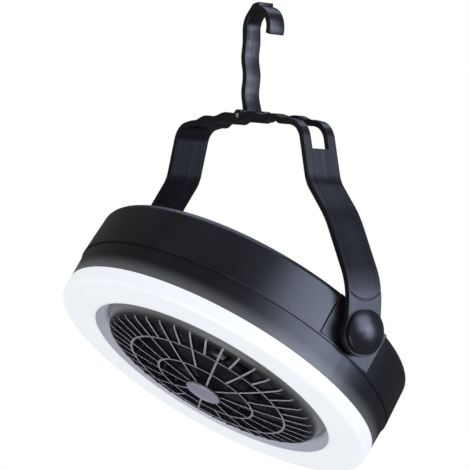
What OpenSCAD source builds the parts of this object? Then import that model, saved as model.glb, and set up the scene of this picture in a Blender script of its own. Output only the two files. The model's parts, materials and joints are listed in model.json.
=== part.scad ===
// Portable camping fan with a ring light. A round head tilts between the legs of a bell-shaped
// bail, and a hook on the bail's wavy grip bar folds down into a slot in it.
// The origin is the centre of the hook's curl, where the fan hangs. +Z is up, +X is the side that
// the hook folds to, and the light faces -Y and down.

/* [Head shell] */
// Outer radius of the head where the light ring meets the front bezel
head_r = 88; // [86:0.5:90]
// Depth of the light ring's outer wall
light_depth = 7.9; // [6:0.1:10]
// Depth of the front bezel's outer wall
bezel_depth = 14.6; // [12:0.1:18]
// Depth of the rear housing
rear_depth = 24.5; // [22.5:0.1:30]
// How much wider the head is at its parting line
belly = 1.1; // [0.4:0.1:1.6]
// How much narrower the rear edge is than the parting line
rear_taper = 0.7; // [0.2:0.1:3]
// Radius of the rounded rear edge
rear_round = 3.5; // [2:0.1:5]
// Thickness of the moulded shells
shell_wall = 2.2; // [1.6:0.1:3]
// Width and depth of the parting groove
seam = 0.6; // [0.3:0.1:1]

/* [Light ring] */
// Width of the flat light window
window_w = 20.3; // [18:0.1:22]
// Thickness of the diffuser
diffuser_t = 2; // [1.2:0.1:3]
// Radius of the diffuser's outer corner
diffuser_round = 2.4; // [1:0.1:4]
// How far the lip inside the window slopes inward
lip_in = 4.4; // [3:0.1:5]
// How deep the lip slopes
lip_drop = 5.6; // [3:0.1:6]
// Depth of the gutter round the guard below the light's floor
gutter_depth = 5.1; // [3:0.1:5.2]
// Thickness of the circuit boards
board_t = 1.2; // [0.8:0.1:2]
// Number of light-emitting diodes
led_count = 24; // [12:4:36]
// Length of one diode
led_l = 3.5; // [2:0.1:5]

/* [Guard] */
// Number of spokes at the guard's rim
spoke_count = 40; // [24:8:48]
// Width of a spoke
spoke_w = 1.1; // [0.9:0.1:1.6]
// Depth of a spoke
spoke_d = 1.7; // [1.2:0.1:2.6]
// Radius of the outer guard ring as a share of the guard's
ring_outer = 0.777; // [0.65:0.001:0.85]
// Radius of the inner guard ring as a share of the guard's
ring_inner = 0.477; // [0.35:0.001:0.6]
// Radius of the disc at the guard's centre
hub_disc_r = 9.7; // [8:0.1:14]
// Width of the gutter that the guard stands in, between the lip and the air duct
gutter_w = 5.8; // [5.4:0.1:8]
// Height of the guard's dome above the light window
guard_rise = 7; // [5:0.1:10]
// Height of the centre disc's rim above the dome
hub_disc_rise = 1.9; // [1:0.1:3]

/* [Fan] */
// Gap between the blade tips and the air duct
tip_gap = 3.5; // [1.5:0.1:8]
// Radius of the fan's hub
fan_hub_r = 16; // [13:0.5:20]
// Number of blades
blade_count = 7; // [3:1:9]
// Thickness of a blade
blade_t = 1.6; // [1.2:0.1:2.4]
// Radius of the motor's shaft
shaft_r = 1.25; // [1:0.05:2]
// Radius of the motor's can
motor_r = 12; // [10:0.5:12.5]
// Length of the motor's can
motor_len = 19; // [14:0.5:20]

/* [Bail] */
// Thickness of a friction washer, which sets the bail's clearance from the head
washer_t = 3.1; // [2:0.1:4]
// Thickness of the bail's strip
bail_t = 3; // [2.4:0.1:3.4]
// Width of the bail's strip
bail_w = 20.4; // [19:0.1:24]
// Height of the grip bar's middle above the tilt axis
bar_z = 105.5; // [104:0.5:110]
// How far the grip bar drops at the hook's corner
bar_drop = 3.4; // [2:0.1:5]
// Height of the finger waves on the grip bar and hook
wave_h = 0.65; // [0.2:0.05:0.9]
// How much deeper the waves are on the underside
wave_deeper = 0.5; // [0:0.05:0.8]
// Length of one finger wave
wave_l = 17.3; // [14:0.1:22]
// How far the hook's slot reaches down the leg below the grip bar's middle
slot_reach = 17.1; // [16:0.1:20]
// Radius of the eye around each pivot
eye_r = 12.2; // [11.5:0.1:14]
// Radius of the domed pivot caps
cap_r = 10.9; // [9.5:0.1:11.4]
// Height of a pivot cap's side wall
cap_wall_h = 2.1; // [1.8:0.1:4]
// Height of a pivot cap's dome
cap_dome_h = 3.6; // [2:0.1:4.5]
// Radius of the pivot screws
pivot_r = 3; // [2.5:0.1:3.5]
// Distance of the tilt axis behind the light window
pivot_back = 36; // [34:0.5:38]
// Angle that the light faces below level
tilt = 56; // [20:1:80]

/* [Hook] */
// Inner radius of the hook's curl
curl_r = 8.8; // [7:0.1:9]
// Thickness of the hook's strip
hook_t = 2.8; // [2.2:0.1:3]
// Width of the hook's strip
hook_w = 9.6; // [8:0.1:10.4]
// Length of the hook from its pin to the curl's centre
hook_len = 44.5; // [41:0.5:45.5]
// How far the tip reaches past the curl's centre
tip_len = 3; // [1:0.1:5]
// Height of the finger catch on the curl's crown
catch_h = 1.8; // [1:0.1:2.4]
// Angle that the raised hook leans back past upright
hook_lean = 4; // [0:0.5:8]
// Radius of the hook's pin
pin_r = 1.2; // [1:0.05:1.5]
// Gap on each side of the hook in its slot
slot_gap = 0.5; // [0.3:0.05:0.8]

/* [Controls and battery] */
// Radius of a push button
button_r = 5; // [4:0.1:6]
// Height of a button above the rear face
button_h = 6; // [4:0.1:7]
// Travel of a button
button_travel = 2.2; // [1.5:0.1:3]
// Radius of a battery cell
cell_r = 7.25; // [7:0.05:7.4]
// Length of a battery cell
cell_len = 50.5; // [48:0.1:51.5]
// Length of a battery door
door_l = 54.4; // [53:0.1:56]
// Width of a battery door
door_w = 15.6; // [15:0.1:16.2]

/* [Hidden] */

$fn = 96;
eps = 0.01;
run_gap = 0.05;      // radial clearance of a turning fit
seat_gap = 0.1;      // clearance of a piece in its seat
part_gap = 0.3;      // clearance between pieces that move past each other

// Heights along the head's axis, measured forward from the tilt axis
z_front = pivot_back;
z_bezel = z_front - light_depth;
z_split = z_bezel - bezel_depth;
z_back = z_split - rear_depth;
z_floor = z_back + shell_wall;
split_r = head_r + belly;
back_r = split_r - rear_taper;

// Lip and gutter inside the light ring, and the air duct
window_r = head_r - window_w;
lip_r = window_r - lip_in;
duct_r = lip_r - gutter_w;
fan_r = duct_r - tip_gap;
lip_wall = 1.8;
lip_wall_top = z_front - lip_drop - 1;
trim_ledge = 1.4;                                 // ledge of the trim that the diffuser rests on
z_gutter = z_bezel - gutter_depth;

// Guard
dome_k = 0.0017;                                  // fall of the guard's dome per radius squared
guard_shoulder_r = duct_r - 0.5;                  // radius where the guard turns down to its rim
guard_rim_r = guard_shoulder_r + 3.6;
ring_outer_r = ring_outer * guard_shoulder_r;
ring_inner_r = ring_inner * guard_shoulder_r;
guard_foot_z = z_gutter + 1.8;
function dome_z(r) = z_front + guard_rise - dome_k * r * r;
hub_plate_z = dome_z(0) + 0.4;

// Pivots on the head
pad_half = 0.2 * split_r;                         // half width of the flat pad at each pivot
pad_x = split_r - 1.1;
pad_front = z_split - 1;
pad_back = z_back + 1.4;
bail_in = pad_x + washer_t + seat_gap;
bail_half = bail_in + bail_t;
washer_r = 9.5;
screw_bury = 18;                                  // how far a pivot screw reaches into the head
screw_in = pad_x - screw_bury;
screw_head_r = 5.4;
screw_head_h = 2;
screw_land_r = screw_head_r + 0.9;                // land on the leg that the screw bears on
spigot_r = cap_r - 1.2;
spigot_h = 0.9;

// Bail: bends of the strip's middle line, from the eye to the grip bar, as [x, z, radius]
bail_mid = bail_half - bail_t / 2;
corner_x = 0.551 * bail_mid;
bar_end_x = corner_x - 11;
shoulder_in = 0.196 * bail_mid;                   // how far the legs draw in above the head
waist_out = 0.085 * bail_mid;                     // the narrow waist, measured from the corner
waist_drop = 0.268 * bar_z;
function arch_z(x) = bar_z - bar_drop * pow(x / bar_end_x, 2);
corner_z = arch_z(bar_end_x) - 2 * bar_drop / bar_end_x * (corner_x - bar_end_x);
bail_bends = [[bail_mid, 0, 0],
              [bail_mid, 0.216 * bar_z, 34],
              [bail_mid - shoulder_in, 0.524 * bar_z, 50],
              [corner_x + waist_out, corner_z - waist_drop, 16],
              [corner_x, corner_z, 10.5],
              [bar_end_x, arch_z(bar_end_x), 0]];
wave_start = 11;                                  // distance of the first wave's crest from the pin
wave_ease = 6;                                    // length over which the waves fade out
function wave(s) = cos(360 * (s - wave_start) / wave_l);
function ease_out(s) = min(1, max(0, s / wave_ease));
slot_half = hook_w / 2 + slot_gap;
slot_floor = bar_z - slot_reach;
knuckle_r = 3.1;
groove_r = 12.8;                                  // crescent groove above each eye
groove_z = 28.7;
groove_w = 0.9;
groove_d = 0.8;

// Hook
catch_turn = 38;                                  // angle of the curl that the finger catch covers
curl_mid = curl_r + hook_t / 2;
curl_out = curl_r + hook_t;
curl_x = curl_mid * cos(hook_lean) - hook_len * sin(hook_lean);
curl_z = bar_z + hook_len * cos(hook_lean) + curl_mid * sin(hook_lean);

// Inside the head
post_r = 3.4;
duct_wall = 1.8;
cell_pos_r = duct_r + duct_wall + cell_r + 1.2;
bay_angles = [-55, -125];
cell_z = [z_floor + cell_r + 0.5, z_floor + 3 * cell_r + 0.9];
door_t = shell_wall;
door_in = cell_pos_r - door_w / 2;
hinge_r = door_t / 2;
trunnion_r = 0.6;
trunnion_l = 1.4;
grip_l = 0.3 * door_l;
button_angles = [115, 140];
button_pos_r = back_r - rear_round - button_r - part_gap - 2;
button_collar = 1.6;
button_flange = 1.2;
board_in_r = duct_r + duct_wall + 2;
board_out_r = button_pos_r + 4;
board_rise = 7;                                   // height of the circuit board above the floor
board_z = z_floor + board_rise;
board_angles = [104, 151];
board_post_angles = [108, 127.5, 147];
switch_h = 3;
screw_angles = [18, 90, 162, 270];
case_screw_pos = back_r - rear_round - post_r - 1.5;
case_screw_r = 1.08;
case_screw_head_r = 2.7;
case_screw_seat = 3;                              // depth of the screw head's seat in the rear face
intake_r = duct_r - 2;
motor_cup_r = motor_r + 2.2;
post_joint = z_split - 4;                         // where the two shells' screw posts meet
screw_bite = 5;                                   // length of a case screw in the front post
duct_gap = 0.5;                                   // gap between the duct and the rear floor

// Pieces of the head are drawn around its axis, front towards +Z, and placed by this
module on_head() {
    translate([-curl_x, 0, -curl_z]) rotate([90 + tilt, 0, 0]) children();
}

// Pieces of the bail are drawn around the tilt axis and placed by this
module on_bail() {
    translate([-curl_x, 0, -curl_z]) children();
}

// Pieces of the hook are drawn upright around its pin
module on_pin() {
    on_bail() translate([0, 0, bar_z]) rotate([0, -hook_lean, 0]) children();
}

module ring(r_in, r_out, z0, z1) {
    rotate_extrude($fn = 144) translate([r_in, z0]) square([r_out - r_in, z1 - z0]);
}

function arc(c, r, a0, a1, n) = [for (i = [0:n]) let (a = a0 + (a1 - a0) * i / n)
                                 [c[0] + r * cos(a), c[1] + r * sin(a)]];
function unit(v) = v / norm(v);
function reversed(list) = [for (i = [len(list) - 1:-1:0]) list[i]];

// The arc of radius r that rounds the corner b between a and c
function bend(a, b, c, r, n) =
    let (u = unit(a - b), w = unit(c - b), half = acos(u * w) / 2,
         mid = b + unit(u + w) * r / sin(half),
         p = b + u * r / tan(half) - mid, q = b + w * r / tan(half) - mid)
    [for (i = [0:n]) mid + r * unit(p * (1 - i / n) + q * i / n)];

function xz(p) = [p[0], p[1]];
bar_steps = 40;
function bar_wave(x) = wave(abs(x)) * ease_out(bar_end_x - abs(x));

// Middle line of the bail's right half, from the eye up and along the grip bar to its middle
bail_half_line = concat(
    [xz(bail_bends[0])],
    [for (k = [1:4]) each bend(xz(bail_bends[k - 1]), xz(bail_bends[k]), xz(bail_bends[k + 1]),
                               bail_bends[k][2], 9)],
    [for (i = [0:bar_steps]) let (x = bar_end_x * (1 - i / bar_steps))
     [x, arch_z(x) + wave_h * bar_wave(x)]]);
bail_line = concat(bail_half_line,
                   [for (i = [len(bail_half_line) - 2:-1:0])
                    [-bail_half_line[i][0], bail_half_line[i][1]]]);

// A strip along the points of a line, whose left and right sides lie at the given distances
module strip(line, left, right) {
    last = len(line) - 1;
    side = [for (i = [0:last]) let (d = unit(line[min(i + 1, last)] - line[max(i - 1, 0)]))
            [d[1], -d[0]]];
    polygon(concat([for (i = [0:last]) line[i] + side[i] * right[i]],
                   reversed([for (i = [0:last]) line[i] - side[i] * left[i]])));
}

// A profile drawn as [x, z] and given a width along Y
module along_y(w) {
    rotate([90, 0, 0]) linear_extrude(w, center = true) children();
}

module at_sides() {
    children();
    mirror([1, 0, 0]) children();
}

// ---- Bail ----

module handle() color([0.09, 0.09, 0.10]) on_bail() difference() {
    union() {
        // The line runs from right to left, so its left side is the underside
        along_y(bail_w) strip(bail_line,
                              [for (p = bail_line) bail_t / 2 - (abs(p[0]) < bar_end_x ?
                                                                 wave_deeper * bar_wave(p[0]) : 0)],
                              [for (p = bail_line) bail_t / 2]);
        at_sides() translate([bail_in, 0, 0]) rotate([0, 90, 0]) cylinder(r = eye_r, h = bail_t);
        translate([0, 0, bar_z]) rotate([90, 0, 0])
            cylinder(r = knuckle_r, h = bail_w, center = true);
    }
    // Slot that the hook folds into: along the bar, round the corner and down the leg
    translate([-knuckle_r - 2 * part_gap, -slot_half, slot_floor])
        cube([bail_half, 2 * slot_half, bar_z]);
    translate([hook_len, 0, bar_z - curl_mid]) rotate([90, 0, 0])
        cylinder(r = curl_out + 2 * part_gap, h = 2 * slot_half, center = true);
    translate([0, 0, bar_z]) rotate([90, 0, 0])
        cylinder(r = pin_r + 0.02, h = 2 * bail_w, center = true);
    at_sides() {
        translate([bail_in - 1, 0, 0]) rotate([0, 90, 0])
            cylinder(r = pivot_r + run_gap, h = bail_t + 2);
        // Seat of the cap's spigot, round the land that the screw bears on
        translate([bail_half - spigot_h - seat_gap, 0, 0]) rotate([0, 90, 0]) difference() {
            cylinder(r = spigot_r + seat_gap, h = 2);
            translate([0, 0, -1]) cylinder(r = screw_land_r, h = 4);
        }
        crescent();
    }
}

// Round-ended step across a leg above its eye
module crescent() intersection() {
    translate([bail_half - groove_d, 0, groove_z]) rotate([0, 90, 0]) difference() {
        cylinder(r = groove_r + groove_w, h = 3);
        translate([0, 0, -1]) cylinder(r = groove_r, h = 5);
    }
    translate([bail_in, -bail_w, 0]) cube([2 * bail_t, 2 * bail_w, groove_z - 4]);
}

module pivot_cap() color([0.09, 0.09, 0.10]) {
    dome_r = (cap_r * cap_r + cap_dome_h * cap_dome_h) / (2 * cap_dome_h);
    crown = bail_half + cap_wall_h;
    half = asin(cap_r / dome_r);
    inner_r = screw_land_r + seat_gap;
    rotate([0, 90, 0]) rotate_extrude() polygon(concat(
        [[0, crown + part_gap], [inner_r, crown + part_gap], [inner_r, bail_half - spigot_h],
         [spigot_r, bail_half - spigot_h], [spigot_r, bail_half], [cap_r, bail_half]],
        arc([0, crown + cap_dome_h - dome_r], dome_r, 90 - half, 90, 8)));
}

module pivot_cap_right() on_bail() pivot_cap();
module pivot_cap_left() on_bail() mirror([1, 0, 0]) pivot_cap();

module hook_pin() color("silver") on_bail() translate([0, 0, bar_z]) rotate([90, 0, 0])
    cylinder(r = pin_r, h = bail_w, center = true);

// ---- Hook ----

module hook() color([0.09, 0.09, 0.10]) on_pin() difference() {
    n = 44;
    rise = [for (i = [0:n]) let (s = hook_len * i / n) wave(s) * ease_out(s) * ease_out(hook_len - s)];
    shank = [for (i = [0:n]) [-wave_h * rise[i], hook_len * i / n]];
    union() {
        along_y(hook_w) strip(shank, [for (w = rise) hook_t / 2],
                              [for (w = rise) hook_t / 2 - wave_deeper * w]);
        rotate([90, 0, 0]) cylinder(r = knuckle_r, h = hook_w, center = true);
        translate([curl_mid, 0, hook_len]) {
            rotate([90, 0, 0]) rotate_extrude(angle = 180)
                translate([curl_r, -hook_w / 2]) square([hook_t, hook_w]);
            translate([curl_r, -hook_w / 2, -tip_len]) cube([hook_t, hook_w, tip_len + eps]);
            // Finger catch: a ramp up to the crown, which ends in a step
            along_y(hook_w) polygon(concat(
                [[-curl_out * sin(catch_turn), curl_out * cos(catch_turn)],
                 [-0.45 * curl_out * sin(catch_turn), curl_out + 0.6 * catch_h],
                 [0, curl_out + catch_h]],
                arc([0, 0], curl_mid, 90, 90 + catch_turn, 4)));
        }
    }
    rotate([90, 0, 0]) cylinder(r = pin_r + run_gap, h = 2 * hook_w, center = true);
}

// ---- Tilt pivots ----

module pivot_screws() color("silver") on_head() at_sides() {
    translate([screw_in, 0, 0]) rotate([0, 90, 0])
        cylinder(r = pivot_r, h = bail_half + seat_gap - screw_in + eps);
    translate([bail_half + seat_gap, 0, 0]) rotate([0, 90, 0]) difference() {
        cylinder(r = screw_head_r, h = screw_head_h);
        translate([0, 0, screw_head_h - 1]) cylinder(r = 2.2, h = 2, $fn = 6);
    }
}

module friction_washers() color([0.2, 0.2, 0.2]) on_head() at_sides()
    translate([pad_x, 0, 0]) rotate([0, 90, 0]) difference() {
        cylinder(r = washer_r, h = washer_t);
        translate([0, 0, -1]) cylinder(r = pivot_r + seat_gap, h = washer_t + 2);
    }

// ---- Head shells ----

// Front bezel: outer wall, floor that carries the light, wall and gutter round the guard, air duct
module front_bezel() color([0.08, 0.08, 0.09]) on_head() {
    wall_r = head_r - shell_wall;
    difference() {
        union() {
            rotate_extrude($fn = 144) polygon([
                [duct_r, z_gutter], [lip_r, z_gutter], [lip_r, lip_wall_top],
                [lip_r + lip_wall, lip_wall_top], [lip_r + lip_wall, z_bezel],
                [head_r, z_bezel], [split_r - seam, z_split + seam],
                [split_r - seam, z_split], [wall_r, z_split], [wall_r, z_bezel - shell_wall],
                [lip_r + lip_wall, z_bezel - shell_wall], [lip_r + lip_wall, z_gutter - shell_wall],
                [duct_r + duct_wall, z_gutter - shell_wall],
                [duct_r + duct_wall, z_floor + duct_gap], [duct_r, z_floor + duct_gap]]);
            at_screws() translate([0, 0, post_joint])
                cylinder(r = post_r, h = z_bezel - shell_wall - post_joint + eps, $fn = 32);
        }
        at_screws() translate([0, 0, post_joint - 1])
            cylinder(r = case_screw_r + 0.02, h = screw_bite + 2, $fn = 24);
    }
}

// Outline of the rear housing with its rounded rear edge
module rear_profile(inset) {
    round_r = max(rear_round - inset, 0.8);
    polygon(concat(
        [[0, z_back + inset]],
        arc([back_r - inset - round_r, z_back + inset + round_r], round_r, -90, 0, 6),
        [[split_r - inset, z_split], [0, z_split]]));
}

// One cell bay's place, with X pointing outward along the head's radius
module at_bay(a) rotate([0, 0, a]) children();

// The case screws' places, with X pointing outward along the head's radius
module at_screws() for (a = screw_angles) rotate([0, 0, a]) translate([case_screw_pos, 0, 0])
    children();

// The block over a pad's length and width, between two distances from the head's axis
module pad_block(x0, x1) translate([x0, -pad_half, pad_back])
    cube([x1 - x0, 2 * pad_half, pad_front - pad_back]);

module rear_housing() color([0.08, 0.08, 0.09]) on_head() {
    difference() {
        union() {
            difference() {
                union() {
                    rotate_extrude($fn = 144) rear_profile(0);
                    at_sides() pad_block(0.9 * pad_x, pad_x);
                }
                // The flat faces of the pads, cut into the round wall
                at_sides() pad_block(pad_x, split_r + 1);
                rotate_extrude($fn = 144) difference() {
                    rear_profile(shell_wall);
                    translate([0, z_split - seam]) square([split_r, 2 * seam]);
                }
                ring(0, split_r - shell_wall, z_split - seam - eps, z_split + 1);
                ring(0, intake_r, z_back - 1, z_floor + 1);
            }
            pivot_bosses();
            at_screws() translate([0, 0, z_back + 1])
                cylinder(r = post_r, h = post_joint - z_back - 1, $fn = 32);
            for (a = button_angles) rotate([0, 0, a])
                translate([button_pos_r, 0, z_back - button_collar])
                cylinder(r = button_r + part_gap + 1.4, h = button_collar + shell_wall);
            for (a = board_post_angles) rotate([0, 0, a])
                translate([board_in_r + 4, 0, z_floor - eps])
                cylinder(r = 2, h = board_rise + eps, $fn = 24);
        }
        for (a = button_angles) rotate([0, 0, a]) translate([button_pos_r, 0, z_back - 3])
            cylinder(r = button_r + part_gap, h = shell_wall + 4);
        at_screws() translate([0, 0, z_back - 1]) {
            cylinder(r = case_screw_r + 0.5, h = rear_depth + 2, $fn = 24);
            cylinder(r = case_screw_head_r + seat_gap, h = case_screw_seat + 1, $fn = 32);
        }
        for (a = bay_angles) at_bay(a) {
            translate([door_in - part_gap, -door_l / 2 - part_gap, z_back - 1])
                cube([door_w + 2 * part_gap, door_l + 2 * part_gap, shell_wall + 2]);
            translate([door_in + hinge_r, 0, z_back + hinge_r]) rotate([90, 0, 0])
                cylinder(r = trunnion_r + run_gap, h = door_l + 2 * trunnion_l + 0.6, center = true,
                         $fn = 32);
        }
        at_sides() translate([screw_in - 2, 0, 0]) rotate([0, 90, 0])
            cylinder(r = pivot_r + 0.02, h = bail_half);
    }
}

// Rear grille: rim with a flange inside the housing, rings, bars and the cup that holds the motor
module rear_grille() color([0.08, 0.08, 0.09]) on_head() {
    plate_r = motor_cup_r + 2;
    rim_in = intake_r - 2.4;
    ring_count = 5;
    ring_step = (rim_in - plate_r) / (ring_count + 1);
    bar_count = 12;
    bar_w = 1.8;
    ring_w = 1.5;
    ring(rim_in, intake_r - seat_gap, z_back, z_floor);
    ring(rim_in, intake_r + 1.4, z_floor, z_floor + 1.2);
    ring(0, plate_r, z_back, z_floor);
    for (i = [1:ring_count]) let (r = plate_r + i * ring_step)
        ring(r - ring_w / 2, r + ring_w / 2, z_back + 0.2, z_floor - 0.2);
    for (k = [0:bar_count - 1]) rotate([0, 0, k * 360 / bar_count])
        translate([plate_r - 0.5, -bar_w / 2, z_back]) cube([rim_in - plate_r + 1, bar_w, shell_wall]);
    ring(motor_r + seat_gap, motor_cup_r, z_floor - eps, z_floor + 8);
}

// Solid blocks behind the pads that take the pivot screws
module pivot_bosses() at_sides() {
    translate([screw_in - 1, 0, 0]) rotate([0, 90, 0])
        cylinder(r = pivot_r + 3, h = pad_x - screw_in + 1);
    translate([pad_x - 2 * shell_wall, -0.6 * pad_half, pad_back + shell_wall])
        cube([2 * shell_wall - 0.5, 1.2 * pad_half, pad_front - pad_back - shell_wall - 1]);
}

// Diffuser: flat window, rounded outer corner and outer wall
module diffuser() color([0.95, 0.96, 0.98]) on_head() {
    t = diffuser_t;
    rotate_extrude($fn = 144) polygon(concat(
        [[head_r, z_bezel]],
        arc([head_r - diffuser_round, z_front - diffuser_round], diffuser_round, 0, 90, 6),
        [[window_r, z_front], [window_r, z_front - t], [head_r - t, z_front - t],
         [head_r - t, z_bezel]]));
}

// Inner trim: the sloping lip between the window and the guard, seated on the bezel's inner wall
module inner_trim() color([0.60, 0.60, 0.66]) on_head() rotate_extrude($fn = 144) polygon([
    [window_r, z_front], [lip_r + 0.5, z_front - lip_drop + 0.65], [lip_r, z_front - lip_drop],
    [lip_r, lip_wall_top], [lip_r + lip_wall, lip_wall_top],
    [window_r + trim_ledge, z_front - diffuser_t - 1.4],
    [window_r + trim_ledge, z_front - diffuser_t], [window_r, z_front - diffuser_t]]);

// ---- Guard ----

// Side view of one spoke from radius r0 to the rim
module spoke_profile(r0) {
    n = 8;
    shoulder = dome_z(guard_shoulder_r);
    top = [for (i = [0:n]) let (r = r0 + (guard_shoulder_r - r0) * i / n) [r, dome_z(r)]];
    under = [for (i = [0:n]) let (r = r0 + (guard_shoulder_r - 0.6 - r0) * i / n)
             [r, dome_z(r) - spoke_d]];
    polygon(concat(top,
        [[guard_shoulder_r + 1.9, shoulder - 1.1], [guard_shoulder_r + 3.1, shoulder - 2.9],
         [guard_rim_r, shoulder - 6], [guard_rim_r, guard_foot_z - 0.5],
         [guard_rim_r - spoke_d, guard_foot_z - 0.5], [guard_rim_r - spoke_d, shoulder - 4]],
        reversed(under)));
}

module spoke(a, r0) rotate([0, 0, a]) rotate([90, 0, 0])
    linear_extrude(spoke_w, center = true) spoke_profile(r0);

module guard() color([0.10, 0.10, 0.11]) on_head() {
    step = 360 / spoke_count;
    for (k = [0:spoke_count - 1])
        spoke(k * step, k % 4 == 0 ? hub_disc_r - 2 : k % 4 == 2 ? ring_inner_r : ring_outer_r);
    for (r = [ring_inner_r, ring_outer_r])
        ring(r - spoke_w / 2, r + spoke_w / 2, dome_z(r) - spoke_d, dome_z(r) + 0.15);
    ring(0, hub_disc_r - 0.2, dome_z(0) - spoke_d - 1, hub_plate_z);
    ring(guard_rim_r - spoke_d, guard_rim_r + 1.6, z_gutter, guard_foot_z);
}

module hub_disc() color([0.62, 0.62, 0.68]) on_head() {
    z0 = hub_plate_z;
    z1 = dome_z(0) + hub_disc_rise;
    rotate_extrude($fn = 96) polygon([[0, z0], [hub_disc_r - 0.2, z0], [hub_disc_r, z0 + 0.2],
                                      [hub_disc_r, z1 - 0.5], [hub_disc_r - 0.5, z1],
                                      [hub_disc_r - 1.4, z1], [hub_disc_r - 1.7, z1 - 0.25],
                                      [0, z1 - 0.25]]);
}

// ---- Light ----

led_ring_r = (window_r + head_r) / 2 - 2;
led_board_half = 6;
led_w = 2.8;
led_h = 0.8;

module led_board() color([0.93, 0.94, 0.92]) on_head()
    ring(led_ring_r - led_board_half, led_ring_r + led_board_half, z_bezel, z_bezel + board_t);

module leds() color([0.95, 0.85, 0.35]) on_head()
    for (k = [0:led_count - 1]) rotate([0, 0, k * 360 / led_count])
        translate([led_ring_r - led_w / 2, -led_l / 2, z_bezel + board_t]) cube([led_w, led_l, led_h]);

// ---- Fan ----

fan_z0 = z_floor + motor_len + 2;
fan_z1 = z_bezel + 2;

// Section of a blade at radius r, as points around its edge: pitch falls towards the tip
function blade_pitch(r) = 48 - 22 * (r - fan_hub_r) / (fan_r - fan_hub_r);
function blade_chord(r) = 26 + 10 * sin(180 * (r - fan_hub_r) / (fan_r - fan_hub_r) * 0.8);
blade_steps = 6;
function blade_edge(r, side) = [for (i = [0:blade_steps])
    let (u = i / blade_steps - 0.5, c = blade_chord(r), p = blade_pitch(r),
         camber = 2.4 * (1 - 4 * u * u),
         thick = side * blade_t / 2 * sqrt(max(0.04, 1 - 4 * u * u)),
         s = c * u, h = camber + thick,
         across = s * cos(p) - h * sin(p) + 4 * (r - fan_hub_r) / (fan_r - fan_hub_r),
         up = s * sin(p) + h * cos(p), turn = across / r * 180 / PI)
    [r * cos(turn), r * sin(turn), up]];

// One blade, lofted through sections from inside the hub to the tip
module blade() {
    stations = 7;
    root = fan_hub_r - 1.5;
    m = 2 * (blade_steps + 1);
    pts = [for (j = [0:stations]) let (r = root + (fan_r - root) * j / stations)
           each concat(blade_edge(r, 1), reversed(blade_edge(r, -1)))];
    polyhedron(points = pts, faces = concat(
        [[for (i = [m - 1:-1:0]) i]],
        [for (j = [0:stations - 1], i = [0:m - 1])
         let (a = j * m + i, b = j * m + (i + 1) % m) each [[a, b, a + m], [b, b + m, a + m]]],
        [[for (i = [0:m - 1]) stations * m + i]]), convexity = 4);
}

module impeller() color([0.16, 0.16, 0.18]) on_head() difference() {
    mid = (fan_z0 + fan_z1) / 2 - 1;
    union() {
        rotate_extrude() polygon(concat([[0, fan_z0], [fan_hub_r, fan_z0]],
            arc([fan_hub_r - 4, fan_z1 - 5], 4, 0, 90, 5), [[0, fan_z1 - 1]]));
        for (k = [0:blade_count - 1]) rotate([0, 0, k * 360 / blade_count])
            translate([0, 0, mid]) blade();
    }
    translate([0, 0, fan_z0 - 1]) cylinder(r = shaft_r + 0.02, h = fan_z1 - fan_z0 - 3);
}

module motor_shaft() color("silver") on_head() translate([0, 0, z_floor + 3])
    cylinder(r = shaft_r, h = fan_z1 - z_floor - 8, $fn = 48);

module motor() color([0.7, 0.7, 0.72]) on_head() difference() {
    union() {
        translate([0, 0, z_floor]) cylinder(r = motor_r, h = motor_len);
        translate([0, 0, z_floor + motor_len - eps]) cylinder(r = 3.5, h = 1);
    }
    translate([0, 0, z_floor + 3 - part_gap]) cylinder(r = shaft_r + run_gap, h = motor_len + 2);
}

// ---- Battery ----

nub_h = 1.2;                                      // nub at the positive end of a cell
nub_r = 2.7;
contact_t = 0.5;

module in_bays() for (a = bay_angles) at_bay(a) for (z = cell_z)
    translate([cell_pos_r, 0, z]) rotate([90, 0, 0]) children();

module batteries() color([0.25, 0.35, 0.6]) on_head() in_bays() translate([0, 0, -cell_len / 2]) {
    cylinder(r = cell_r, h = cell_len - nub_h);
    translate([0, 0, cell_len - nub_h - eps]) cylinder(r = nub_r, h = nub_h + eps);
}

module battery_contacts() color([0.8, 0.7, 0.4]) on_head()
    for (a = bay_angles, s = [-1, 1]) at_bay(a)
        translate([cell_pos_r, s * (cell_len + contact_t) / 2 - contact_t / 2, z_floor])
        translate([0.5 - cell_r, 0, 0]) cube([2 * cell_r - 1, contact_t, 4 * cell_r]);

module battery_door(a) color([0.08, 0.08, 0.09]) on_head() at_bay(a)
    translate([door_in, 0, z_back]) difference() {
        union() {
            translate([hinge_r, -door_l / 2, 0]) cube([door_w - hinge_r, door_l, door_t]);
            translate([hinge_r, 0, hinge_r]) rotate([90, 0, 0]) {
                cylinder(r = hinge_r, h = door_l, center = true, $fn = 32);
                cylinder(r = trunnion_r, h = door_l + 2 * trunnion_l, center = true, $fn = 32);
            }
        }
        // Finger grooves near the free edge
        for (i = [0:2]) translate([door_w - 3 - 2 * i, -grip_l / 2, -1]) cube([0.9, grip_l, 1.6]);
    }

module battery_door_right() battery_door(bay_angles[0]);
module battery_door_left() battery_door(bay_angles[1]);

// ---- Controls ----

// Button with a stem towards its switch and a flange that keeps it in the housing
module button(a) color([0.35, 0.35, 0.38]) on_head() rotate([0, 0, a])
    translate([button_pos_r, 0, 0]) {
        stem_top = board_z - switch_h - 2 * seat_gap - button_travel;
        flange_top = z_floor + button_flange + seat_gap;
        edge = 1.5;
        rotate_extrude() polygon(concat(
            [[0, stem_top], [2, stem_top], [2, flange_top], [button_r + button_flange, flange_top],
             [button_r + button_flange, z_floor + seat_gap], [button_r, z_floor + seat_gap]],
            arc([button_r - edge, z_back - button_h + edge], edge, 0, -90, 4),
            [[0, z_back - button_h]]));
    }

module light_button() button(button_angles[0]);
module fan_button() button(button_angles[1]);

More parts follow.
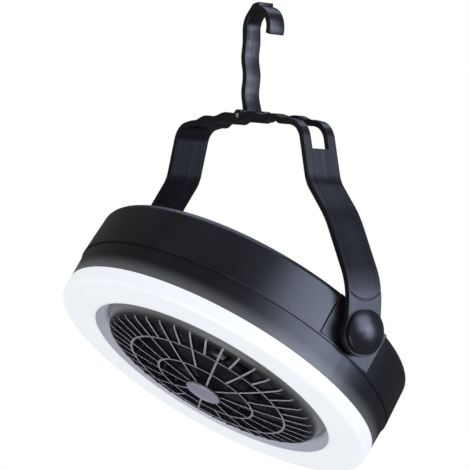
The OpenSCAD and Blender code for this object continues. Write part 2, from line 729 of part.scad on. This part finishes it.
module circuit_board() color([0.1, 0.35, 0.2]) on_head() {
    rotate([0, 0, board_angles[0]])
        rotate_extrude(angle = board_angles[1] - board_angles[0], $fn = 144)
        translate([board_in_r, board_z]) square([board_out_r - board_in_r, board_t]);
    for (a = button_angles) rotate([0, 0, a])
        translate([button_pos_r - 3, -3, board_z - switch_h]) cube([6, 6, switch_h + eps]);
}

module case_screws() color("silver") on_head() at_screws() {
    head_h = 1.8;
    seat_z = z_back + case_screw_seat;
    difference() {
        translate([0, 0, seat_z - head_h]) cylinder(r = case_screw_head_r, h = head_h, $fn = 32);
        for (turn = [0, 90]) rotate([0, 0, turn]) translate([-1.6, -0.35, seat_z - head_h - 1])
            cube([3.2, 0.7, 2]);
    }
    translate([0, 0, seat_z - 0.5])
        cylinder(r = case_screw_r, h = post_joint + screw_bite - seat_z + 0.5, $fn = 24);
}

handle();
hook();
hook_pin();
pivot_cap_right();
pivot_cap_left();
pivot_screws();
friction_washers();
front_bezel();
rear_housing();
rear_grille();
diffuser();
inner_trim();
guard();
hub_disc();
led_board();
leds();
impeller();
motor_shaft();
motor();
batteries();
battery_contacts();
battery_door_right();
battery_door_left();
light_button();
fan_button();
circuit_board();
case_screws();
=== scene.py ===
"""Looks of the hanging camping fan: materials, added pieces, studio, floor and the photograph's camera."""

import json
import math

import bpy
from mathutils import Matrix, Vector


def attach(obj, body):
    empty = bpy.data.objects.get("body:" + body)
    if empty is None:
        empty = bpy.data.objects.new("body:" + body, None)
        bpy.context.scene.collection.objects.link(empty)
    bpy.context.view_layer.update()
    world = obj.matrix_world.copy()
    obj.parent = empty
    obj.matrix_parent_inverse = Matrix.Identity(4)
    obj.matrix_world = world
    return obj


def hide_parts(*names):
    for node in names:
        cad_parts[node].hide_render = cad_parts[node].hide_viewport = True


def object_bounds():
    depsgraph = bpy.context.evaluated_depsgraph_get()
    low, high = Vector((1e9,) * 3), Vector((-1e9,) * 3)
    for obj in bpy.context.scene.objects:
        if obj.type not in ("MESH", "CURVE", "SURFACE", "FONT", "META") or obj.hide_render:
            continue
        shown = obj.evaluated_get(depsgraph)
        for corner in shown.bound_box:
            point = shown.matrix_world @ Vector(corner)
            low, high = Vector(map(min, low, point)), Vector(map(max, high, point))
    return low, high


MM = 0.001

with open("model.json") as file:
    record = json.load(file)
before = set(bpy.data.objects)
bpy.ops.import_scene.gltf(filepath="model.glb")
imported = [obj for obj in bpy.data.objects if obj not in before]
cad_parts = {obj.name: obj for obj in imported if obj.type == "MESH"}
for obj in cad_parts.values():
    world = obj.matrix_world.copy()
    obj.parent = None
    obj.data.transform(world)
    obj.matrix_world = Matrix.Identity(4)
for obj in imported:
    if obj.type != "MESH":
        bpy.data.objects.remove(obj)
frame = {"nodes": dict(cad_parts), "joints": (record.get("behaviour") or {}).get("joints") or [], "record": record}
cad_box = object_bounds()
nodes = frame["nodes"]
joints = {j["name"]: j for j in frame["joints"]}

PIVOT = Vector(joints["head_tilt"]["pos_m"])
HEAD_AXIS = Vector(joints["fan_spin"]["axis"])          # points out of the light ring

# Radii around the head's axis and a height along it, in millimetres
HEAD_R = 88.0                                           # outside of the light ring
WINDOW_R = 67.7                                         # inner edge of the light window
LIP_R = 63.3                                            # inner edge of the sloping lip
Z_BEZEL = 28.1                                          # where the light ring meets the bezel


# ---- Camera ----

IMAGE_PX = 470
SENSOR_MM = 36.0
FOCAL_PX = 2137.5

# Measured from the tilt axis: where the camera looks from, its roll, distance and shift
CAMERA_AZIMUTH = math.radians(52.65)
CAMERA_ELEVATION = math.radians(-0.11)
CAMERA_ROLL = math.radians(2.35)
CAMERA_DISTANCE = 1101.1 * MM
CAMERA_SHIFT_X = 4.9 * MM
CAMERA_SHIFT_Y = -44.4 * MM
CLIP_RANGE = (0.01, 50)                                 # what the camera sees, in metres from it


def add_camera():
    """The photograph's viewpoint."""
    az, el, roll = CAMERA_AZIMUTH, CAMERA_ELEVATION, CAMERA_ROLL
    back = Vector((math.sin(az) * math.cos(el), -math.cos(az) * math.cos(el), math.sin(el)))
    right = Vector((math.cos(az), math.sin(az), 0))
    up = back.cross(right)
    cam_right = math.cos(roll) * right + math.sin(roll) * up
    cam_up = -math.sin(roll) * right + math.cos(roll) * up
    place = PIVOT - CAMERA_SHIFT_X * cam_right - CAMERA_SHIFT_Y * cam_up + CAMERA_DISTANCE * back
    data = bpy.data.cameras.new("camera")
    data.sensor_width = SENSOR_MM
    data.lens = SENSOR_MM * FOCAL_PX / IMAGE_PX
    data.clip_start, data.clip_end = CLIP_RANGE
    camera = bpy.data.objects.new("camera", data)
    turn = Matrix((cam_right, cam_up, back)).transposed().to_4x4()
    camera.matrix_world = Matrix.Translation(place) @ turn
    bpy.context.scene.collection.objects.link(camera)
    bpy.context.scene.camera = camera


# ---- Material helpers ----

class Shader:
    """A material's node tree with short ways to add and join nodes."""

    def __init__(self, name):
        self.material = bpy.data.materials.new(name)
        self.material.use_nodes = True
        self.tree = self.material.node_tree
        self.bsdf = self.tree.nodes["Principled BSDF"]
        place = self.tree.nodes.new("ShaderNodeTexCoord")
        self.coords = place.outputs["Object"]
        self.normal = place.outputs["Normal"]

    def add(self, kind, inputs=None, **settings):
        """A new node with its settings, whose inputs are linked or set."""
        node = self.tree.nodes.new(kind)
        for key, value in settings.items():
            setattr(node, key, value)
        for key, value in (inputs or {}).items():
            self.put(node.inputs[key], value)
        return node

    def put(self, socket, value):
        """Links value to the socket if it is a socket, and otherwise sets it there."""
        if isinstance(value, bpy.types.NodeSocket):
            self.tree.links.new(value, socket)
        else:
            socket.default_value = value

    def finish(self, name, value):
        """Links or sets one input of the surface shader."""
        self.put(self.bsdf.inputs[name], value)

    def noise(self, scale, detail=3.0, roughness=0.55, stretch=None):
        """Noise in object space, its coordinates scaled by stretch along X, Y and Z."""
        vector = self.coords
        if stretch:
            vector = self.add("ShaderNodeMapping", {"Vector": vector, "Scale": stretch}).outputs["Vector"]
        return self.add("ShaderNodeTexNoise", {"Vector": vector, "Scale": scale, "Detail": detail,
                                               "Roughness": roughness}).outputs["Fac"]

    def spread(self, value, low, high, at=(0.3, 0.7), smooth=False):
        """Maps value from the range at to the range low to high."""
        node = self.add("ShaderNodeMapRange", {"Value": value, "From Min": at[0], "From Max": at[1],
                                               "To Min": low, "To Max": high})
        if smooth:
            node.interpolation_type = "SMOOTHSTEP"
        return node.outputs["Result"]

    def mix(self, factor, a, b):
        """Mixes two colours."""
        node = self.add("ShaderNodeMix", data_type="RGBA")
        self.put(node.inputs["Factor"], factor)
        self.put(node.inputs[6], (*a, 1) if isinstance(a, tuple) else a)
        self.put(node.inputs[7], (*b, 1) if isinstance(b, tuple) else b)
        return node.outputs[2]

    def math(self, operation, a, b=0.0):
        """One step of arithmetic on numbers."""
        return self.add("ShaderNodeMath", {0: a, 1: b}, operation=operation).outputs[0]

    def shares(self, a, share, b):
        """A share of a and the rest of b."""
        return self.math("ADD", self.math("MULTIPLY", a, share), self.math("MULTIPLY", b, 1 - share))

    def vector_math(self, operation, a, b=(0, 0, 0)):
        """The node of one step of arithmetic on vectors."""
        return self.add("ShaderNodeVectorMath", {0: a, 1: b}, operation=operation)

    def dot(self, a, b):
        """The dot product of two vectors."""
        return self.vector_math("DOT_PRODUCT", a, b).outputs["Value"]

    def from_pivot(self):
        """The shaded point, measured from the tilt axis."""
        return self.vector_math("SUBTRACT", self.coords, PIVOT).outputs["Vector"]

    def height(self):
        """Distance of the shaded point past the tilt axis along the head's axis, in millimetres."""
        return self.dot(self.from_pivot(), HEAD_AXIS / MM)

    def radius(self):
        """Distance of the shaded point from the head's axis, in millimetres."""
        across = self.vector_math("CROSS_PRODUCT", self.from_pivot(), HEAD_AXIS / MM).outputs["Vector"]
        return self.vector_math("LENGTH", across).outputs["Value"]

    def surface(self, height, strength, depth, edge=0.0):
        """Bump from height, on a normal that rounds the edges over the radius edge."""
        node = self.add("ShaderNodeBump", {"Height": height, "Strength": strength, "Distance": depth})
        if edge:
            bevel = self.add("ShaderNodeBevel", {"Radius": edge})
            bevel.samples = 4
            self.put(node.inputs["Normal"], bevel.outputs["Normal"])
        self.finish("Normal", node.outputs["Normal"])

    def glow(self, color, strength):
        """Light that the surface gives off."""
        self.finish("Emission Color", (*color, 1))
        self.finish("Emission Strength", strength)


CLOUD_SCALE = 38.0
STREAK_SCALE = 60.0
GRAIN_SCALE = 900.0
FINE_GRAIN_SCALE = 1500.0
GRAIN_DEPTH = 0.12 * MM
WELD_EDGES = (0.08 * MM, 0.35 * MM)                     # how far from Y = 0 its fade starts and ends


def moulded(name, dark, light, rough, grain=GRAIN_SCALE, bump=0.06, edge=0.0, specular=0.5,
            flow=None, weld=0.0):
    """Moulded plastic: faint marks in colour and gloss, over a fine grain.

    The marks are clouds, or streaks along a strip where flow stretches them. A weld line
    of the given depth runs along Y = 0.
    """
    s = Shader(name)
    cloud = s.noise(CLOUD_SCALE, 4.0)
    grains = s.noise(grain, 2.0)
    if flow:
        marks = s.noise(STREAK_SCALE, 2.5, 0.5, stretch=flow)
        gloss = s.shares(cloud, 0.35, marks)
    else:
        marks = cloud
        gloss = s.shares(cloud, 0.6, grains)
    s.finish("Base Color", s.mix(s.spread(marks, 0.0, 1.0), dark, light))
    s.finish("Roughness", s.spread(gloss, *rough, at=(0.35, 0.65)))
    s.finish("Specular IOR Level", specular)
    height = grains
    if weld:
        across = s.add("ShaderNodeSeparateXYZ", {0: s.coords}).outputs["Y"]
        line = s.spread(s.math("ABSOLUTE", across), weld, 0.0, at=WELD_EDGES)
        height = s.math("SUBTRACT", grains, line)
    s.surface(height, bump, GRAIN_DEPTH, edge)
    return s


DRAWN_SCALE = 600.0
DRAWN_STRETCH = (1.0, 1.0, 12.0)
DRAWN_DEPTH = 0.05 * MM
DRAWN_SHADE = 0.8                                       # the lines' darkest colour, as a share of the metal's
DRAWN_ROUGH = (-0.06, 0.08)                             # how far the lines change the roughness


def metal(name, color, rough):
    """Plated metal with fine drawn lines."""
    s = Shader(name)
    lines = s.noise(DRAWN_SCALE, 3.0, stretch=DRAWN_STRETCH)
    shade = tuple(c * DRAWN_SHADE for c in color)
    s.finish("Metallic", 1.0)
    s.finish("Base Color", s.mix(lines, shade, color))
    s.finish("Roughness", s.spread(lines, rough + DRAWN_ROUGH[0], rough + DRAWN_ROUGH[1]))
    s.surface(lines, 0.1, DRAWN_DEPTH)
    return s.material


# ---- Finishes ----

BLACK = (0.0060, 0.0062, 0.0075)
BLACK_WORN = (0.0110, 0.0112, 0.0135)
GUARD_BLACK = (0.010, 0.010, 0.013)
RING_WHITE = (0.94, 0.96, 1.0)
# Colours of the ring's light, painted as a glow onto the parts around it, which give off no light of their own
RING_PAINTED_SPILL = (0.90, 0.93, 1.0)                          # the ring's light on the black parts
LIP_PAINTED_SPILL = (0.86, 0.88, 1.0)
SKIRT_PAINTED_SPILL = (0.92, 0.95, 1.0)

# Strength of the ring, and of its light painted as a glow on what lies next to it
RING_LIGHT = 0.76
BEZEL_PAINTED_GLOW = 0.095
DUCT_PAINTED_GLOW = 0.02
GUARD_PAINTED_GLOW = 0.05
LIP_PAINTED_GLOW = 0.20
LIP_PAINTED_GLOW_FLOOR = 0.03
SKIRT_PAINTED_GLOW = 0.14

# Where that painted glow fades, in millimetres along the head's axis or from it
BEZEL_PAINTED_GLOW_END = 20.0                                   # height at which the outer wall gets none
DUCT_PAINTED_GLOW_END = 5.0                                     # height at which the duct gets none
GUARD_PAINTED_GLOW_START = 56.0                                 # radius inside which the guard gets none
LIP_PAINTED_GLOW_WIDTH = 1.6                                    # over how much of the lip it grows
SKIRT_PAINTED_GLOW_START = 33.0                                 # height up to which the skirt gets all of it
SKIRT_TOP = 37.2                                        # the skirt's top, where it gets none


def bail_plastic():
    """Black plastic with flow streaks and a weld line along the strips."""
    return moulded("bail_plastic", BLACK, BLACK_WORN, (0.24, 0.38), edge=0.6 * MM, specular=0.40,
                   flow=(0.3, 13.0, 0.3), weld=60.0).material


def cap_plastic():
    return moulded("cap_plastic", BLACK, BLACK_WORN, (0.25, 0.33), edge=0.6 * MM).material


def shell_plastic():
    return moulded("shell_plastic", BLACK, BLACK_WORN, (0.29, 0.37), edge=0.5 * MM).material


def bezel_with_painted_glow():
    """The shell's plastic, with the ring's light painted as a glow on its outer wall near the ring and in its
    duct.
    """
    s = moulded("bezel_with_painted_glow", BLACK, BLACK_WORN, (0.29, 0.37), edge=0.5 * MM)
    radius, height = s.radius(), s.height()
    near_ring = s.spread(height, 0.0, 1.0, at=(BEZEL_PAINTED_GLOW_END, Z_BEZEL), smooth=True)
    outer_wall = s.spread(radius, 0.0, BEZEL_PAINTED_GLOW, at=(HEAD_R - 3.0, HEAD_R - 2.0))
    near_mouth = s.spread(height, 0.0, DUCT_PAINTED_GLOW, at=(DUCT_PAINTED_GLOW_END, Z_BEZEL), smooth=True)
    duct = s.spread(radius, 1.0, 0.0, at=(LIP_R + 2.0, LIP_R + 3.0))
    # painted light: the ring's glow painted on the outer wall near the ring and in the duct
    s.glow(RING_PAINTED_SPILL, s.math("ADD", s.math("MULTIPLY", near_ring, outer_wall),
                              s.math("MULTIPLY", near_mouth, duct)))
    return s.material


def guard_plastic():
    """Black plastic with a painted grey highlight on its forward faces, weaker towards the rim, and the ring's
    light painted as a glow at the rim.
    """
    # the grey below is the painted highlight's colour; the plastic itself is black
    s = moulded("guard_plastic", (0.28, 0.28, 0.33), (0.36, 0.36, 0.42), (0.34, 0.46))
    painted_sheen_grey = s.bsdf.inputs["Base Color"].links[0].from_socket
    radius = s.radius()
    forward = s.spread(s.dot(s.normal, HEAD_AXIS), 0.0, 1.0, at=(0.40, 0.80))
    # painted highlight: forward faces get the grey, less of it near the rim
    painted_sheen = s.math("MULTIPLY", forward, s.spread(radius, 1.0, 0.5, at=(55.0, 60.0), smooth=True))
    s.finish("Base Color", s.mix(painted_sheen, GUARD_BLACK, painted_sheen_grey))
    # painted light: the ring's glow painted on the guard towards its rim
    s.glow(RING_PAINTED_SPILL, s.spread(radius, 0.0, GUARD_PAINTED_GLOW, at=(GUARD_PAINTED_GLOW_START, LIP_R), smooth=True))
    return s.material


def skirt_with_painted_glow():
    """Black plastic of the guard's skirt, with the ring's light painted as a glow on its outside, more towards its
    foot.
    """
    s = moulded("skirt_with_painted_glow", BLACK, BLACK_WORN, (0.34, 0.44))
    # painted light: the ring's glow, full up to a height and none at the skirt's top, on faces turned outwards
    lit = s.spread(s.height(), SKIRT_PAINTED_GLOW, 0.0, at=(SKIRT_PAINTED_GLOW_START, SKIRT_TOP), smooth=True)
    outside = s.spread(s.dot(s.normal, s.from_pivot()), 0.0, 1.0, at=(0.0, 20 * MM))
    s.glow(SKIRT_PAINTED_SPILL, s.math("MULTIPLY", lit, outside))
    return s.material


def fan_plastic():
    return moulded("fan_plastic", (0.007, 0.007, 0.009), (0.012, 0.012, 0.016), (0.25, 0.38)).material


def hub_trim():
    return moulded("hub_trim", (0.27, 0.27, 0.34), (0.33, 0.33, 0.41), (0.35, 0.45),
                   grain=FINE_GRAIN_SCALE).material


def lip_with_painted_glow():
    """The hub's grey, with the ring's light painted as a glow over it, stronger towards the window."""
    s = moulded("lip_with_painted_glow", (0.27, 0.27, 0.33), (0.31, 0.31, 0.38), (0.35, 0.45), grain=FINE_GRAIN_SCALE)
    # painted light: the ring's glow, faint at the lip's inner edge and full towards the window
    s.glow(LIP_PAINTED_SPILL, s.spread(s.radius(), LIP_PAINTED_GLOW_FLOOR, LIP_PAINTED_GLOW, at=(LIP_R, LIP_R + LIP_PAINTED_GLOW_WIDTH),
                               smooth=True))
    return s.material


def diffuser_plastic():
    """Milky plastic lit from behind, a little brighter at its rim and dimmer at its inner edge."""
    s = moulded("diffuser_plastic", (0.18, 0.19, 0.20), (0.21, 0.22, 0.23), (0.30, 0.36), bump=0.03)
    radius = s.radius()
    rim = s.spread(radius, 1.0, 1.04, at=(HEAD_R - 3.5, HEAD_R), smooth=True)
    inner = s.spread(radius, 0.90, 1.0, at=(WINDOW_R, WINDOW_R + 2.0), smooth=True)
    s.glow(RING_WHITE, s.math("MULTIPLY", s.math("MULTIPLY", rim, inner), RING_LIGHT))
    return s.material


def button_plastic():
    return moulded("button_plastic", (0.03, 0.03, 0.034), (0.045, 0.045, 0.05), (0.45, 0.55)).material


def washer_rubber():
    return moulded("washer_rubber", (0.008, 0.008, 0.008), (0.015, 0.015, 0.015), (0.7, 0.8)).material


def steel():
    return metal("steel", (0.62, 0.62, 0.64), 0.3)


def pin_steel():
    return metal("pin_steel", (0.82, 0.82, 0.84), 0.6)


def motor_can():
    return metal("motor_can", (0.5, 0.5, 0.52), 0.35)


def contact_metal():
    return metal("contact_metal", (0.72, 0.6, 0.36), 0.25)


def cell_wrap():
    return metal("cell_wrap", (0.25, 0.27, 0.32), 0.35)


def board_white():
    return moulded("board_white", (0.70, 0.72, 0.70), (0.78, 0.79, 0.77), (0.35, 0.5)).material


def board_green():
    return moulded("board_green", (0.02, 0.10, 0.045), (0.03, 0.14, 0.06), (0.3, 0.45)).material


def led_resin():
    return moulded("led_resin", (0.75, 0.55, 0.12), (0.85, 0.66, 0.2), (0.15, 0.25)).material


FINISHES = {
    "bail_plastic": bail_plastic, "cap_plastic": cap_plastic, "shell_plastic": shell_plastic,
    "guard_plastic": guard_plastic, "fan_plastic": fan_plastic, "hub_trim": hub_trim,
    "diffuser_plastic": diffuser_plastic, "button_plastic": button_plastic,
    "washer_rubber": washer_rubber, "steel": steel, "motor_can": motor_can,
    "contact_metal": contact_metal, "cell_wrap": cell_wrap, "board_white": board_white,
    "board_green": board_green, "led_resin": led_resin,
}
# Nodes that have a finish of their own, and not their slot's
OWN_FINISH = {"front_bezel": bezel_with_painted_glow, "inner_trim": lip_with_painted_glow, "hook_pin": pin_steel}


def dress_nodes():
    """Gives each CAD node its slot's finish, or its own, and returns the slots' finishes."""
    made = {}
    for part in frame["record"]["subparts"]:
        name, slot = part["node"], part["material_slot"]
        if name in OWN_FINISH:
            material = OWN_FINISH[name]()
        else:
            if slot not in made:
                made[slot] = FINISHES[slot]()
            material = made[slot]
        materials = nodes[name].data.materials
        materials.clear()
        materials.append(material)
    return made


# ---- Piece helpers ----

def new_piece(name, verts, faces):
    """A mesh object from points in metres."""
    mesh = bpy.data.meshes.new(name)
    mesh.from_pydata(verts, [], faces)
    mesh.update()
    piece = bpy.data.objects.new(name, mesh)
    bpy.context.scene.collection.objects.link(piece)
    return piece


def smooth_faces(mesh, sharp_over=None):
    """Smooth shading, in which edges over an angle in degrees stay sharp."""
    for polygon in mesh.polygons:
        polygon.use_smooth = True
    if sharp_over:
        mesh.set_sharp_from_angle(angle=math.radians(sharp_over))


def apply_modifiers(piece, *modifiers):
    """Gives the piece each modifier in turn, and then the mesh that they make."""
    for kind, settings in modifiers:
        modifier = piece.modifiers.new(kind.lower(), kind)
        for key, value in settings.items():
            setattr(modifier, key, value)
    shaped = piece.evaluated_get(bpy.context.evaluated_depsgraph_get())
    mesh = bpy.data.meshes.new_from_object(shaped)
    piece.modifiers.clear()
    old, piece.data = piece.data, mesh
    bpy.data.meshes.remove(old)


def circle_points(center, radius, start, end, steps):
    """Points along an arc from the angle start to end, in degrees."""
    turns = [math.radians(start + (end - start) * k / steps) for k in range(steps + 1)]
    return [(center[0] + radius * math.cos(t), center[1] + radius * math.sin(t)) for t in turns]


def revolved(name, profile, steps=144):
    """A closed ring around the head's axis from a profile of [radius, height] in millimetres."""
    side = Vector((1, 0, 0))
    up = HEAD_AXIS.cross(side)
    verts, faces = [], []
    count = len(profile)
    for k in range(steps):
        turn = 2 * math.pi * k / steps
        out = math.cos(turn) * side + math.sin(turn) * up
        verts += [PIVOT + MM * (radius * out + height * HEAD_AXIS) for radius, height in profile]
    for k in range(steps):
        a, b = k * count, (k + 1) % steps * count
        faces += [(a + i, b + i, b + (i + 1) % count, a + (i + 1) % count) for i in range(count)]
    piece = new_piece(name, verts, faces)
    smooth_faces(piece.data)
    return piece


def strip_across(name, outline, place, right, up, width):
    """A solid from an outline of [x, z] in millimetres, drawn at place and given a width along Y."""
    half = Vector((0, width / 2 * MM, 0))
    base = [place + MM * (x * right + z * up) for x, z in outline]
    count = len(base)
    verts = [v - half for v in base] + [v + half for v in base]
    faces = [tuple(range(count)), tuple(range(2 * count - 1, count - 1, -1))]
    faces += [(i, i + count, (i + 1) % count + count, (i + 1) % count) for i in range(count)]
    return new_piece(name, verts, faces)


# ---- Guard skirt ----

# Its section as [radius, height] in millimetres: the foot, the flange over it and the outside up to
# the dome, then the inside down again
SKIRT_OUTSIDE = [(59.7, 24.7), (60.9, 24.7), (61.3, 28.6), (63.1, 29.2), (63.1, 29.9), (61.8, 30.5),
                 (61.1, 31.5), (60.8, 33.0), (60.3, 34.7), (59.1, 36.3), (57.7, 36.95),
                 (56.4, SKIRT_TOP - 0.1), (54.6, SKIRT_TOP)]
SKIRT_INSIDE = [(54.6, 36.6), (55.4, 36.4), (56.6, 36.2), (58.1, 35.3), (59.1, 33.9), (59.5, 32.3),
                (59.7, 30.4)]


def add_skirt():
    """Thin wall that fills the gaps between the spokes at their bends; the spokes stand out of it."""
    skirt = revolved("guard_skirt", SKIRT_OUTSIDE + SKIRT_INSIDE)
    skirt.data.materials.append(skirt_with_painted_glow())
    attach(skirt, "head")


# ---- Hook ----

# Measured from its pin, in millimetres and degrees
HOOK_LEAN = 4
HOOK_LEN = 44.5                                         # from the pin to the height of the curl's centre
HOOK_WIDTH = 9.6
HOOK_HALF = 1.6                                         # half the strip's thickness
HOOK_BACK = 1.0                                         # from the pin to the shank's middle, towards -X
SHANK_START = 2.0
HOOK_WAVE = 0.62                                        # half the depth of a wave
HOOK_WAVE_LENGTH = 18.4
HOOK_WAVE_FROM = 2.8
HOOK_WAVE_TO = 39.6
CURL_IN = 8.3                                           # the curl's radii
CURL_OUT = 11.5
TIP_TURN = 23                                           # how far the tip curls in past level
CATCH_TURN = 36                                         # where the catch starts, from the curl's top
CATCH_AT = 2.2                                          # where its top ends, past the curl's centre
CATCH_TOP = 13.28                                       # from the curl's centre
CATCH_FALL = 0.4                                        # how much lower its top begins than it ends
CATCH_SHARE = 0.40                                      # where that is, as a share of the way to its start
KNUCKLE = 3.1                                           # radius round the pin
KNUCKLE_GAP = 6                                         # between the shank's corners and the knuckle's arc
PIN_HOLE = 1.25                                         # radius
FLARE = 1.9                                             # how much wider the shank would be at the pin
FLARE_TOP = 9.0                                         # height at which it has its own width
HOOK_EDGE = 0.45
BEVEL_OVER = 40                                         # angle over which an edge is rounded
SHARP_OVER = 35                                         # angle over which an edge is shaded sharp


def hook_outline():
    """Side view of the hook: knuckle, shank with two soft waves, finger catch and curl."""
    def middle(s):
        if HOOK_WAVE_FROM < s < HOOK_WAVE_TO:
            swing = 1 - math.cos(2 * math.pi * (s - HOOK_WAVE_FROM) / HOOK_WAVE_LENGTH)
            return -HOOK_BACK - HOOK_WAVE * swing
        return -HOOK_BACK

    def flare(s):
        return FLARE * max(0.0, 1 - s / FLARE_TOP) ** 2

    def direction(point):
        return math.degrees(math.atan2(point[1], point[0]))

    steps = 60
    heights = [SHANK_START + (HOOK_LEN - SHANK_START) * k / steps for k in range(steps)]
    left = [(middle(s) - HOOK_HALF, s) for s in heights]
    right = [(middle(s) + HOOK_HALF + flare(s), s) for s in reversed(heights)]

    curl = (CURL_IN + HOOK_HALF - HOOK_BACK, HOOK_LEN)
    catch_from = curl[0] - CATCH_SHARE * CURL_OUT * math.sin(math.radians(CATCH_TURN))
    catch_end = math.degrees(math.acos(CATCH_AT / CURL_OUT))
    rise = circle_points(curl, CURL_OUT, 180, 90 + CATCH_TURN, 14)
    catch = [(catch_from, HOOK_LEN + CATCH_TOP - CATCH_FALL), (curl[0] + CATCH_AT, HOOK_LEN + CATCH_TOP)]
    over = circle_points(curl, CURL_OUT, catch_end, -TIP_TURN, 26)
    inner = circle_points(curl, CURL_IN, -TIP_TURN, 180, 44)
    knuckle = circle_points((0, 0), KNUCKLE, direction(right[-1]) - KNUCKLE_GAP,
                            direction(left[0]) - 360 + KNUCKLE_GAP, 30)
    return left + rise + catch + over + inner + right + knuckle


def add_hook(finish):
    """The hook with its waves, catch and softened edges, which replaces the plainer CAD hook.

    Its shank and curl lie about 1 to 1.5 mm nearer -X than those of the CAD hook.
    """
    pin = Vector(joints["hook_fold"]["pos_m"])
    lean = math.radians(HOOK_LEAN)
    right = Vector((math.cos(lean), 0, math.sin(lean)))
    up = Vector((-math.sin(lean), 0, math.cos(lean)))
    hook = strip_across("hook_strip", hook_outline(), pin, right, up, HOOK_WIDTH)
    bore = strip_across("bore", circle_points((0, 0), PIN_HOLE, 0, 350, 35), pin, right, up, 2 * HOOK_WIDTH)
    apply_modifiers(hook, ("BOOLEAN", {"operation": "DIFFERENCE", "object": bore, "solver": "EXACT"}),
                    ("BEVEL", {"width": HOOK_EDGE * MM, "segments": 3, "limit_method": "ANGLE",
                               "angle_limit": math.radians(BEVEL_OVER)}))
    bpy.data.objects.remove(bore)
    smooth_faces(hook.data, SHARP_OVER)
    hook.data.materials.append(finish)
    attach(hook, "hook")
    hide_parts("hook")


# ---- Studio ----

WORLD_LIGHT = 0.13
FLOOR_DROP = 2.6                                        # from the fan's lowest point, in metres
FLOOR_SIZE = 30
FLOOR_PALE = ((0.86, 0.86, 0.87), (0.90, 0.90, 0.90))
FLOOR_BOUNCE = (0.45, 0.45, 0.47)                       # the floor's colour for light that it throws back
COOL = (0.67, 0.75, 1.0)


def softbox(name, direction, distance, size, power, color=(1, 1, 1)):
    """A soft light seen from the tilt axis in a direction, which no camera sees."""
    data = bpy.data.lights.new(name, "AREA")
    data.shape = "RECTANGLE"
    data.size, data.size_y = size
    data.energy = power
    data.color = color
    lamp = bpy.data.objects.new(name, data)
    back = Vector(direction).normalized()
    lamp.location = PIVOT + distance * back
    lamp.rotation_euler = (-back).to_track_quat("-Z", "Y").to_euler()
    lamp.visible_camera = False
    bpy.context.scene.collection.objects.link(lamp)


def add_lights():
    softbox("side_box", (0.88, 0.25, 0.35), 1.6, (1.2, 1.2), 25, COOL)
    softbox("low_side_box", (0.85, 0.50, -0.02), 1.5, (0.8, 0.7), 9, COOL)
    softbox("top_box", (-0.20, 0.20, 0.95), 1.5, (1.4, 1.4), 14, COOL)
    softbox("low_front_box", (0.35, -0.75, -0.55), 1.5, (1.2, 1.2), 20)


def white_world(strength):
    """Even dim studio light, which camera and transmission rays see as plain white."""
    world = bpy.data.worlds.new("studio")
    bpy.context.scene.world = world
    world.use_nodes = True
    tree = world.node_tree
    background = tree.nodes["Background"]
    path = tree.nodes.new("ShaderNodeLightPath")
    seen = tree.nodes.new("ShaderNodeMath")
    seen.operation = "MAXIMUM"
    tree.links.new(path.outputs["Is Camera Ray"], seen.inputs[0])
    tree.links.new(path.outputs["Is Transmission Ray"], seen.inputs[1])
    level = tree.nodes.new("ShaderNodeMapRange")
    tree.links.new(seen.outputs[0], level.inputs["Value"])
    level.inputs["To Min"].default_value = strength
    level.inputs["To Max"].default_value = 1.0
    tree.links.new(level.outputs["Result"], background.inputs["Strength"])
    background.inputs["Color"].default_value = (1, 1, 1, 1)


def add_floor():
    """A plain floor well below the hanging fan, which the camera sees as white."""
    low = cad_box[0][2]
    bpy.ops.mesh.primitive_plane_add(size=FLOOR_SIZE, location=(0, 0, low - FLOOR_DROP))
    floor = bpy.context.object
    floor.name = "floor"
    s = Shader("floor")
    seen = s.add("ShaderNodeLightPath").outputs["Is Camera Ray"]
    pale = s.mix(s.noise(2.0, 3.0), *FLOOR_PALE)
    s.finish("Base Color", s.mix(seen, FLOOR_BOUNCE, pale))
    s.finish("Roughness", 0.8)
    s.finish("Specular IOR Level", 0.1)
    s.glow((1, 1, 1), seen)
    floor.data.materials.append(s.material)


finishes = dress_nodes()
add_skirt()
add_hook(finishes["bail_plastic"])
add_camera()
white_world(WORLD_LIGHT)
add_floor()
add_lights()
bpy.context.scene.view_settings.view_transform = "Standard"
